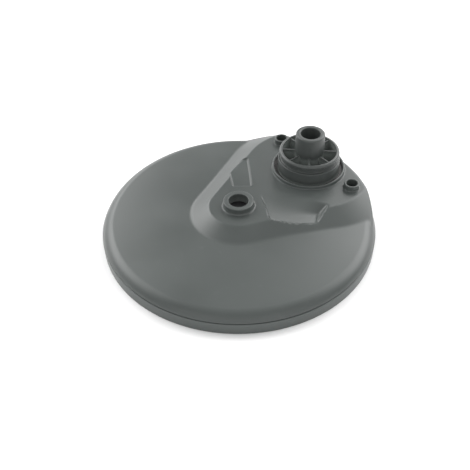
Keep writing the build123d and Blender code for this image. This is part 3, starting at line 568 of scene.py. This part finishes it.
def build_deck():
    deck = deck_shell()
    hub = (0.0, HUB_Y)
    right = (SCREW_BOSS_X, SCREW_BOSS_Y)
    left = (-SCREW_BOSS_X, SCREW_BOSS_Y)
    base = MOUND_Z - SINK
    flare = 1.3
    collar_profile = round_corners([
        (SEAT_OPENING_R, SEAT_LOW, 0.5), (COLLAR_R, SEAT_LOW, 0.5), (COLLAR_R, base - 1.0, 0),
        (COLLAR_R + flare, base - 1.0, 0), (COLLAR_R + flare, base, 0),
        (COLLAR_R + 0.45 * flare, base + 0.16 * flare, 0), (COLLAR_R + 0.14 * flare, base + 0.5 * flare, 0),
        (COLLAR_R, base + flare, 0), (COLLAR_R, COLLAR_Z, 0.8), (COLLAR_BORE_R, COLLAR_Z, 0.6),
        (COLLAR_BORE_R, SNAP_Z + SNAP_H + 0.1, 0), (SNAP_R, SNAP_Z + SNAP_H + 0.1, 0),
        (SNAP_R, SNAP_Z - 0.1, 0), (COLLAR_BORE_R, SNAP_Z - 0.1, 0), (COLLAR_BORE_R, SEAT_Z, 0.4),
        (SEAT_OPENING_R, SEAT_Z, 0.4)])
    collar = revolve("collar", collar_profile, hub, 224)
    combine(collar, [cylinder("trim", (0, 0), REAR_R - 0.9, 20, 45, 480)], "INTERSECT")
    combine(deck, [cylinder("well", hub, COLLAR_R - 0.6, 20, 45, 224)], "DIFFERENCE")
    combine(deck, [collar,
                   boss("centre", (0, 0), CENTRE_BOSS_R, BOSS_BORE_R, BOSS_TOP, 2.0),
                   boss("screw_right", right, SCREW_BOSS_R, SCREW_BOSS_HOLE_R, SCREW_BOSS_TOP, 1.2),
                   boss("screw_left", left, SCREW_BOSS_R, SCREW_BOSS_HOLE_R, SCREW_BOSS_TOP, 1.2)], "UNION")
    combine(deck, [cylinder("bore", (0, 0), BOSS_BORE_R, 20, 45),
                   cylinder("hole", right, SCREW_BOSS_HOLE_R, 15, 45),
                   cylinder("hole", left, SCREW_BOSS_HOLE_R, 15, 45)], "DIFFERENCE")
    finish_mesh(deck)
    return deck


deck = build_deck()
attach(deck, "housing")
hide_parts("dome_housing")


# ---- skirt ring and hub ----------------------------------------------------------------------
FOOT_REACH = 3.5         # the skirt's foot reaches in under the rim wall
FOOT_THICK = 2.0
RING_GAP = 0.05          # between the skirt ring and the deck's rim wall


def build_skirt():
    profile = round_corners([
        (WALL_R - FOOT_REACH, 0, 0.5), (DISC_R, 0, 0.8), (DISC_R, SKIRT_H, 0.8),
        (WALL_R + RING_GAP, SKIRT_H, 0.2), (WALL_R + RING_GAP, FOOT_THICK, 0.3),
        (WALL_R - FOOT_REACH, FOOT_THICK, 0.5)])
    skirt = revolve("skirt", profile, segments=COLUMNS)
    finish_mesh(skirt)
    return skirt


LIP_Z = 57.0
LIP_R = 31.9
LIP_H = 4.2
LIP_SLANT = 0.5          # the lip's lower side rises this much outwards
LEDGE_Z = 47.6
LEDGE_R = 33.0
NECK_R = 30.2
DRUM_R = 28.5            # inside of the drum
TUBE_R = 15.3
HUB_FLOOR_Z = 38.0
HUB_FLOOR_LOW = 35.5
FLANGE_Z = 31.6
FLANGE_R = 36.9
SOCKET_FLOOR = 48.0
SEAL_R = 6.1
SEAL_LOW = 33.5
WELL_R = 10.0
HOLLOW_R = 29.5
RIBS = 8
RIB_HALF = 0.8
RIB_DRAFT = 0.1          # a rib's foot is this much wider on each side
RIB_SET_IN = 0.6         # a rib's ends reach this far into the tube and the drum
RIB_TOP = LIP_Z - 1.2


def rib(name, angle):
    """Upright web between the tube and the drum, thinner at its rounded top."""
    foot = RIB_HALF + RIB_DRAFT
    section = round_corners([(-foot, HUB_FLOOR_Z - 1.2, 0), (foot, HUB_FLOOR_Z - 1.2, 0),
                             (RIB_HALF, RIB_TOP, 0.5), (-RIB_HALF, RIB_TOP, 0.5)])
    out = np.array([math.cos(angle), math.sin(angle)])
    aside = np.array([-out[1], out[0]])
    vertices = []
    for reach in (TUBE_R - RIB_SET_IN, DRUM_R + RIB_SET_IN):
        for offset, z in section:
            x, y = out * reach + aside * offset
            vertices.append((x, y + HUB_Y, z))
    count = len(section)
    faces = [tuple(range(count)), tuple(range(2 * count - 1, count - 1, -1))]
    for k in range(count):
        m = (k + 1) % count
        faces.append((k, m, count + m, count + k))
    return mesh_object(name, vertices, faces)


def build_hub():
    profile = round_corners([
        (HOLLOW_R, HUB_LOW, 0.3), (FLANGE_R, HUB_LOW, 0.4), (FLANGE_R, FLANGE_Z, 0.4),
        (LEDGE_R, FLANGE_Z, 0.5), (LEDGE_R, LEDGE_Z, 0.7), (NECK_R, LEDGE_Z, 0.6),
        (NECK_R, LIP_Z - LIP_H, 0.5), (LIP_R, LIP_Z - LIP_H + LIP_SLANT, 0.6), (LIP_R, LIP_Z, 2.4),
        (DRUM_R, LIP_Z - 0.2, 0.9), (DRUM_R, HUB_FLOOR_Z, 1.2), (TUBE_R + 0.3, HUB_FLOOR_Z, 1.2),
        (TUBE_R, HUB_TOP, 1.5), (SOCKET_R, HUB_TOP, 1.1), (SOCKET_R, SOCKET_FLOOR, 0.4),
        (SEAL_R, SOCKET_FLOOR, 0.3), (SEAL_R, SEAL_LOW, 0.3), (WELL_R, SEAL_LOW, 0.5),
        (WELL_R, HUB_FLOOR_LOW, 0.8), (HOLLOW_R, HUB_FLOOR_LOW, 1.0)])
    hub = revolve("hub", profile, (0.0, HUB_Y), 240)
    turns = [2 * math.pi * k / RIBS for k in range(RIBS)]
    combine(hub, [rib("rib", a) for a in turns], "UNION")
    finish_mesh(hub)
    return hub


skirt = build_skirt()
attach(skirt, "housing")
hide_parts("skirt_ring")

hub = build_hub()
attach(hub, "hub")
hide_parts("hub_spool")


# ---- materials -------------------------------------------------------------------------------
def noise(nodes, links, vector, scale, detail):
    texture = nodes.new("ShaderNodeTexNoise")
    texture.inputs["Scale"].default_value = scale
    texture.inputs["Detail"].default_value = detail
    links.new(vector, texture.inputs["Vector"])
    return texture.outputs["Fac"]


def ranged(nodes, links, value, low, high, to_low, to_high):
    """Maps a value smoothly from one range to another."""
    node = nodes.new("ShaderNodeMapRange")
    node.interpolation_type = "SMOOTHSTEP"
    node.inputs["From Min"].default_value = low
    node.inputs["From Max"].default_value = high
    node.inputs["To Min"].default_value = to_low
    node.inputs["To Max"].default_value = to_high
    links.new(value, node.inputs["Value"])
    return node.outputs["Result"]


def blend(nodes, links, factor, first, second):
    """Mixes two colours, each a colour or the output of another node."""
    node = nodes.new("ShaderNodeMix")
    node.data_type = "RGBA"
    links.new(factor, node.inputs["Factor"])
    for socket, colour in ((node.inputs["A"], first), (node.inputs["B"], second)):
        if isinstance(colour, tuple):
            socket.default_value = (*colour, 1)
        else:
            links.new(colour, socket)
    return node.outputs["Result"]


def surface(name, colour, roughness, metallic=0.0, grain=1000.0, bump=0.1, spread=0.05,
            stretch=(1, 1, 1), wear=None, wear_amount=0.3, ior=1.5, painted_hollow_light=None):
    """Clouded colour, fine grain, scuffs or stains, painted light in hollows, and gloss that follows."""
    material = bpy.data.materials.new(name)
    material.use_nodes = True
    nodes = material.node_tree.nodes
    links = material.node_tree.links
    shader = nodes["Principled BSDF"]
    shader.inputs["Metallic"].default_value = metallic
    shader.inputs["IOR"].default_value = ior
    coords = nodes.new("ShaderNodeTexCoord").outputs["Object"]
    along = nodes.new("ShaderNodeMapping")
    along.inputs["Scale"].default_value = stretch
    links.new(coords, along.inputs["Vector"])
    cloud = noise(nodes, links, coords, 14, 4)
    scuffs = ranged(nodes, links, noise(nodes, links, along.outputs["Vector"], 90, 6), 0.6, 0.78, 0, 1)
    patches = ranged(nodes, links, noise(nodes, links, coords, 9, 2), 0.45, 0.7, 0, wear_amount)
    marks = nodes.new("ShaderNodeMath")
    marks.operation = "MULTIPLY"
    links.new(scuffs, marks.inputs[0])
    links.new(patches, marks.inputs[1])
    low = tuple(c * (1 - spread) for c in colour)
    high = tuple(min(1.0, c * (1 + spread)) for c in colour)
    tint = blend(nodes, links, ranged(nodes, links, cloud, 0.3, 0.7, 0, 1), low, high)
    worn = wear or tuple(min(1.0, c * 1.5 + 0.01) for c in colour)
    tint = blend(nodes, links, marks.outputs[0], tint, worn)
    # Painted light: where ambient occlusion finds a hollow, the colour turns lighter, standing in for light
    # reaching deep pockets and bores.
    if painted_hollow_light:
        hollows = nodes.new("ShaderNodeAmbientOcclusion")
        hollows.inputs["Distance"].default_value = 0.02
        sheltered = ranged(nodes, links, hollows.outputs["AO"], 0.15, 0.5, 1, 0)
        tint = blend(nodes, links, sheltered, tint, painted_hollow_light)
    links.new(tint, shader.inputs["Base Color"])
    gloss = ranged(nodes, links, cloud, 0.3, 0.7, roughness - 0.04, roughness + 0.04)
    rougher = nodes.new("ShaderNodeMath")
    rougher.operation = "MULTIPLY_ADD"
    rougher.inputs[1].default_value = 0.2
    links.new(marks.outputs[0], rougher.inputs[0])
    links.new(gloss, rougher.inputs[2])
    links.new(rougher.outputs[0], shader.inputs["Roughness"])
    relief = nodes.new("ShaderNodeBump")
    relief.inputs["Strength"].default_value = bump
    relief.inputs["Distance"].default_value = 0.0001
    links.new(noise(nodes, links, along.outputs["Vector"], grain, 3), relief.inputs["Height"])
    links.new(relief.outputs["Normal"], shader.inputs["Normal"])
    return material


BRASS_STAIN = (0.22, 0.15, 0.07)
STEEL_STAIN = (0.32, 0.3, 0.28)
SURFACES = {
    # The last colour of the deck and the hub is painted light, a lighter colour put into their hollows,
    # pockets and bores.
    "deck_plastic": surface("deck_plastic", (0.051, 0.0585, 0.056), 0.34, painted_hollow_light=(0.16, 0.17, 0.165)),
    "skirt_plastic": surface("skirt_plastic", (0.062, 0.071, 0.068), 0.36, wear_amount=0.5),
    "hub_plastic": surface("hub_plastic", (0.042, 0.0475, 0.0455), 0.36, painted_hollow_light=(0.2, 0.22, 0.21)),
    "rotor_plastic": surface("rotor_plastic", (0.018, 0.018, 0.02), 0.5, bump=0.2),
    "bearing_plastic": surface("bearing_plastic", (0.6, 0.58, 0.52), 0.4, wear=(0.4, 0.37, 0.3)),
    "seal_rubber": surface("seal_rubber", (0.012, 0.012, 0.012), 0.62, bump=0.15),
    "brass_fittings": surface("brass_fittings", (0.62, 0.42, 0.17), 0.28, 1.0, 400, 0.15,
                              stretch=(1, 1, 6), wear=BRASS_STAIN, wear_amount=0.8),
    "stainless": surface("stainless", (0.52, 0.52, 0.51), 0.3, 1.0, 300, 0.2,
                         stretch=(1, 1, 9), wear=STEEL_STAIN, wear_amount=0.6),
    "bearing_steel": surface("bearing_steel", (0.6, 0.6, 0.61), 0.14, 1.0, 700, 0.05,
                             stretch=(1, 1, 12), wear=STEEL_STAIN, wear_amount=0.3),
    "zinc_screws": surface("zinc_screws", (0.5, 0.51, 0.52), 0.36, 1.0, 500, 0.2,
                           wear=(0.38, 0.37, 0.33), wear_amount=0.9),
}


def use(obj, material):
    obj.data.materials.clear()
    obj.data.materials.append(material)


use(deck, SURFACES["deck_plastic"])
use(skirt, SURFACES["skirt_plastic"])
use(hub, SURFACES["hub_plastic"])
for part in frame["record"]["subparts"]:
    for slot in frame["nodes"][part["node"]].material_slots:
        slot.material = SURFACES[part["material_slot"]]
frame["nodes"]["hub_snap_ring"].material_slots[0].material = surface(
    "blackened_steel", (0.035, 0.034, 0.033), 0.42, 0.6, 500, 0.1, wear=(0.12, 0.08, 0.05))

# ---- stage -----------------------------------------------------------------------------------
CAMERA_DISTANCE = 0.7
CAMERA_AZIMUTH = math.radians(50.56)
CAMERA_ELEVATION = math.radians(42.29)
CAMERA_AIM = Vector((0.0042, -0.00878, 0))
CAMERA_ROLL = math.radians(0.98)

camera = bpy.data.objects.new("camera", bpy.data.cameras.new("camera"))
bpy.context.scene.collection.objects.link(camera)
camera.data.sensor_width = 36
camera.data.lens = 51.05
camera.location = CAMERA_DISTANCE * Vector((
    math.sin(CAMERA_AZIMUTH) * math.cos(CAMERA_ELEVATION),
    -math.cos(CAMERA_AZIMUTH) * math.cos(CAMERA_ELEVATION), math.sin(CAMERA_ELEVATION)))
aim = (CAMERA_AIM - camera.location).to_track_quat("-Z", "Y").to_matrix().to_4x4()
camera.matrix_world = Matrix.Translation(camera.location) @ aim @ Matrix.Rotation(-CAMERA_ROLL, 4, "Z")
bpy.context.scene.camera = camera
bpy.context.scene.view_settings.view_transform = "Standard"


# The studio has bright walls to the left, behind and to the right, and weaker light overhead and
# low in front. The right wall reaches further round than the left one.
DARK = 0.26
OVERHEAD = 0.8
AHEAD = 0.8
BRIGHT_REAR = 2.6
BRIGHT_SIDE = 5.2
WALL_REACH_RIGHT = 1.5
WALL_REACH_LEFT = 1.1
VIEW_RIGHT = (math.cos(CAMERA_AZIMUTH), math.sin(CAMERA_AZIMUTH), 0)
VIEW_FRONT = (math.sin(CAMERA_AZIMUTH), -math.cos(CAMERA_AZIMUTH), 0)


def studio_world():
    world = bpy.data.worlds.new("studio")
    world.use_nodes = True
    nodes = world.node_tree.nodes
    links = world.node_tree.links
    direction = nodes.new("ShaderNodeTexCoord").outputs["Generated"]

    def towards(axis):
        dot = nodes.new("ShaderNodeVectorMath")
        dot.operation = "DOT_PRODUCT"
        dot.inputs[1].default_value = axis
        links.new(direction, dot.inputs[0])
        return dot.outputs["Value"]

    def combined(operation, first, second):
        node = nodes.new("ShaderNodeMath")
        node.operation = operation
        for socket, value in zip(node.inputs, (first, second)):
            if isinstance(value, float):
                socket.default_value = value
            else:
                links.new(value, socket)
        return node.outputs[0]

    height = towards((0, 0, 1))
    right = towards(VIEW_RIGHT)
    aside = combined("MAXIMUM", combined("MULTIPLY", right, WALL_REACH_RIGHT),
                     combined("MULTIPLY", right, -WALL_REACH_LEFT))
    edge = ranged(nodes, links, aside, 0.12, 0.36, 0.36, 0.82)
    bright = ranged(nodes, links, aside, 0.12, 0.36, BRIGHT_REAR, BRIGHT_SIDE)
    depth = combined("SUBTRACT", edge, height)
    lit = ranged(nodes, links, depth, -0.12, 0.12, 0.0, 1.0)
    ceiling = ranged(nodes, links, height, 0.82, 0.97, DARK, OVERHEAD)
    raised = ranged(nodes, links, height, 0.1, 0.6, 0.25, 1.0)
    behind = ranged(nodes, links, towards(VIEW_FRONT), -0.35, 0.15, 1.0, 0.1)
    box = combined("MULTIPLY", combined("MULTIPLY", lit, bright), raised)
    box = combined("MULTIPLY", box, behind)
    background = nodes["Background"]
    background.inputs["Color"].default_value = (1, 1, 1, 1)
    ahead = ranged(nodes, links, towards(VIEW_FRONT), 0.3, 0.85, 0.0, AHEAD)
    box = combined("ADD", box, ahead)
    links.new(combined("ADD", box, ceiling), background.inputs["Strength"])
    bpy.context.scene.world = world


studio_world()

floor_mesh = bpy.data.meshes.new("floor")
FLOOR_HALF = 20.0
floor_corners = [(-FLOOR_HALF, -FLOOR_HALF, 0), (FLOOR_HALF, -FLOOR_HALF, 0),
                 (FLOOR_HALF, FLOOR_HALF, 0), (-FLOOR_HALF, FLOOR_HALF, 0)]
floor_mesh.from_pydata(floor_corners, [], [(0, 1, 2, 3)])
floor = bpy.data.objects.new("floor", floor_mesh)
bpy.context.scene.collection.objects.link(floor)
use(floor, surface("floor_paint", (0.93, 0.93, 0.93), 0.85, bump=0.02, spread=0.01, wear=(0.9, 0.9, 0.9)))
